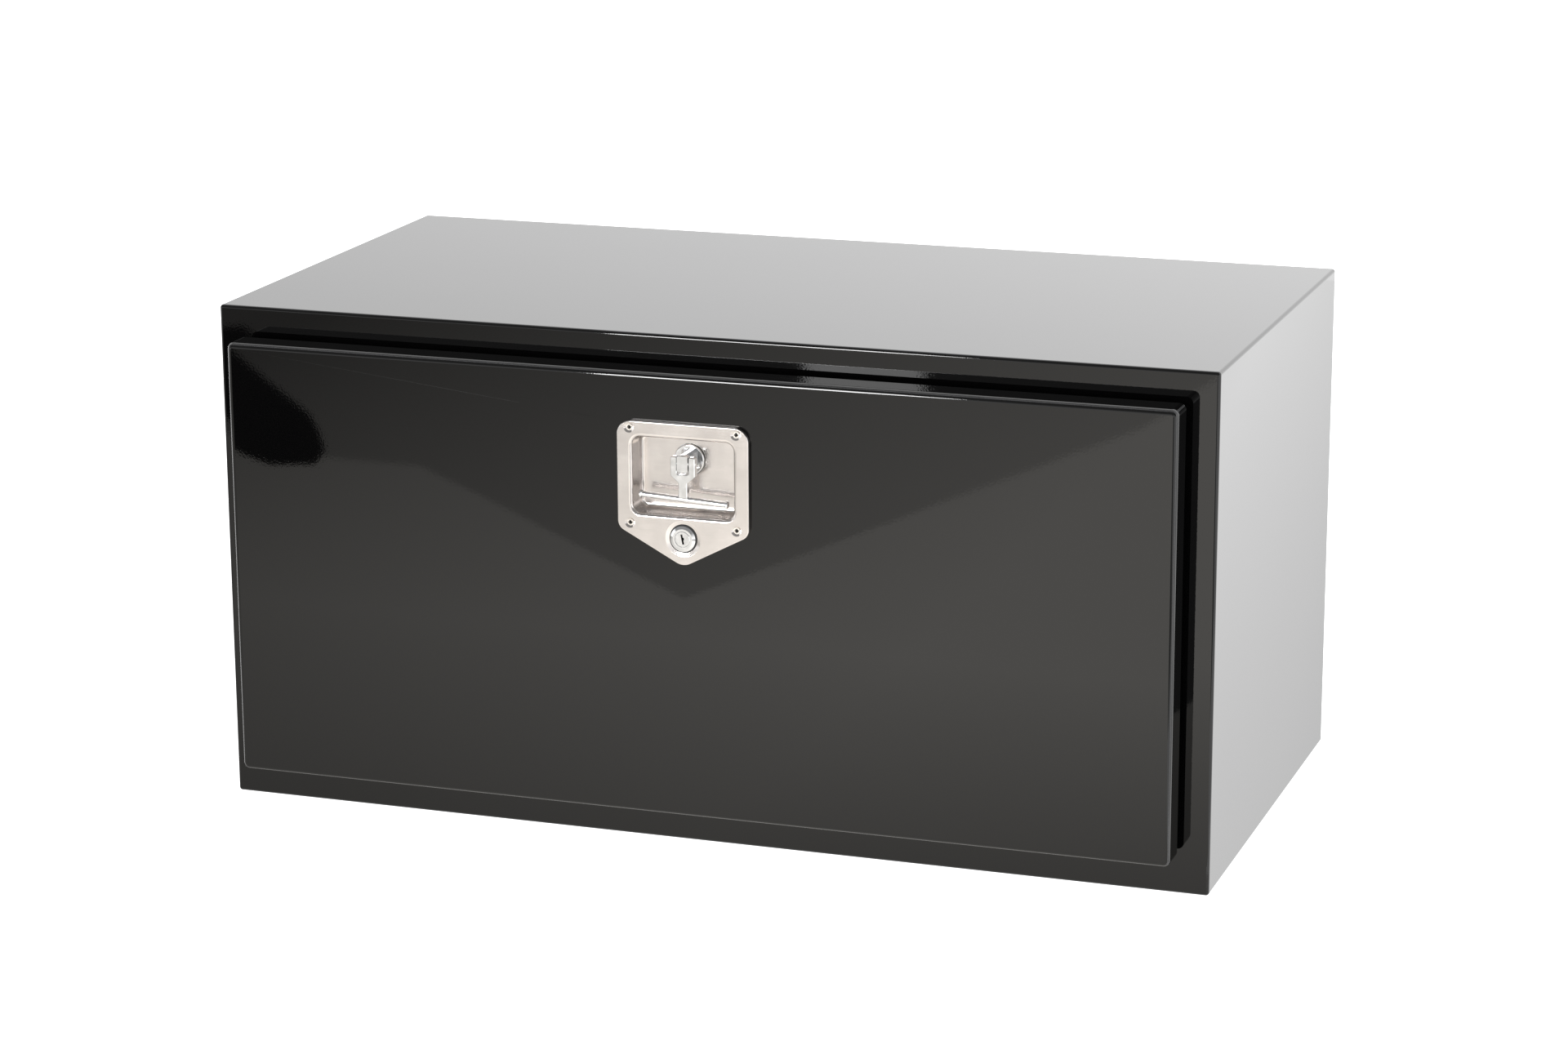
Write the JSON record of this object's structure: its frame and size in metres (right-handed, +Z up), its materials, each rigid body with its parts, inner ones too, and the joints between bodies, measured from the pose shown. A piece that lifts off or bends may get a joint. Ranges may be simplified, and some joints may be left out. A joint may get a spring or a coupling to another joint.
{
  "type": "truck tool box",
  "caption": "Black steel underbody truck tool box with a bottom-hinged drop-down door, a recessed folding T-handle latch with a key lock, a bulb seal and folding door stays.",
  "frame": {"origin": "centre of the cabinet's flat bottom face", "axes": "+X to the right seen from the front, +Y to the back, so the door faces -Y, +Z up"},
  "size_m": [0.9144, 0.5039, 0.4572],
  "materials": {
    "gloss_black": "gloss black powder coat",
    "stainless": "satin",
    "chrome": "polished",
    "zinc_steel": "bright zinc plate",
    "black_rubber": "matt"
  },
  "bodies": {
    "cabinet": {"body_wrap": "gloss_black", "back_panel": "gloss_black", "mouth_frame": "gloss_black", "drip_lip": "gloss_black", "door_seal": "black_rubber", "strike_plate": "zinc_steel", "hinge_body_leaf": "zinc_steel", "hinge_pin": "zinc_steel", "hinge_body_rivets": "zinc_steel", "stay_bracket_right": "zinc_steel", "stay_bracket_left": "zinc_steel", "stay_rear_pivot_right": "zinc_steel", "stay_rear_pivot_left": "zinc_steel"},
    "door": {"door_pan": "gloss_black", "door_stiffener_right": "gloss_black", "door_stiffener_left": "gloss_black", "hinge_door_leaf": "zinc_steel", "hinge_door_rivets": "zinc_steel", "latch_gasket": "black_rubber", "latch_dish": "stainless", "spindle_housing": "zinc_steel", "plate_screws": "stainless", "plate_nuts": "zinc_steel", "lock_housing": "chrome", "lock_seal_ring": "black_rubber", "lock_nut": "zinc_steel", "stay_door_bracket_right": "zinc_steel", "stay_door_bracket_left": "zinc_steel", "stay_door_pivot_right": "zinc_steel", "stay_door_pivot_left": "zinc_steel"},
    "spindle": {"latch_spindle": "chrome", "spindle_collar": "zinc_steel", "latch_tongue": "zinc_steel", "tongue_washer": "zinc_steel", "tongue_nut": "zinc_steel"},
    "handle": {"handle_shank": "chrome", "handle_crossbar": "chrome", "handle_pivot_pin": "chrome"},
    "lock": {"lock_plug": "chrome", "lock_cam": "zinc_steel", "lock_cam_nut": "zinc_steel"},
    "rear_link_right": {"stay_rear_link_right": "zinc_steel", "stay_knee_pin_right": "zinc_steel"},
    "rear_link_left": {"stay_rear_link_left": "zinc_steel", "stay_knee_pin_left": "zinc_steel"},
    "front_link_right": {"stay_front_link_right": "zinc_steel"},
    "front_link_left": {"stay_front_link_left": "zinc_steel"}
  },
  "joints": [
    {"name": "door_swing", "type": "hinge", "parent": "cabinet", "child": "door", "pos_m": [0, -0.2341, 0.04], "axis": [1, 0, 0], "range_deg": [0, 90]},
    {"name": "latch_turn", "type": "hinge", "parent": "door", "child": "spindle", "pos_m": [0, -0.25, 0.355], "axis": [0, -1, 0], "range_deg": [0, 90]},
    {"name": "handle_lift", "type": "hinge", "parent": "spindle", "child": "handle", "pos_m": [0, -0.27, 0.355], "axis": [-1, 0, 0], "range_deg": [0, 90]},
    {"name": "key_turn", "type": "hinge", "parent": "door", "child": "lock", "pos_m": [0, -0.26, 0.289], "axis": [0, -1, 0], "range_deg": [0, 90]},
    {"name": "stay_rear_right", "type": "hinge", "parent": "cabinet", "child": "rear_link_right", "pos_m": [0.413, -0.205, 0.12], "axis": [1, 0, 0], "range_deg": [0, 94.52]},
    {"name": "stay_front_right", "type": "hinge", "parent": "door", "child": "front_link_right", "pos_m": [0.4095, -0.2545, 0.14], "axis": [1, 0, 0], "range_deg": [-95.58, 0]},
    {"name": "stay_rear_left", "type": "hinge", "parent": "cabinet", "child": "rear_link_left", "pos_m": [-0.413, -0.205, 0.12], "axis": [1, 0, 0], "range_deg": [0, 94.52]},
    {"name": "stay_front_left", "type": "hinge", "parent": "door", "child": "front_link_left", "pos_m": [-0.4095, -0.2545, 0.14], "axis": [1, 0, 0], "range_deg": [-95.58, 0]}
  ],
  "couplings": [
    {"joint": "handle_lift", "follows": "latch_turn", "ratio": 1},
    {"joint": "stay_rear_right", "follows": "door_swing", "ratio": 1.0501},
    {"joint": "stay_front_right", "follows": "door_swing", "ratio": -1.0619},
    {"joint": "stay_rear_left", "follows": "door_swing", "ratio": 1.0501},
    {"joint": "stay_front_left", "follows": "door_swing", "ratio": -1.0619}
  ]
}
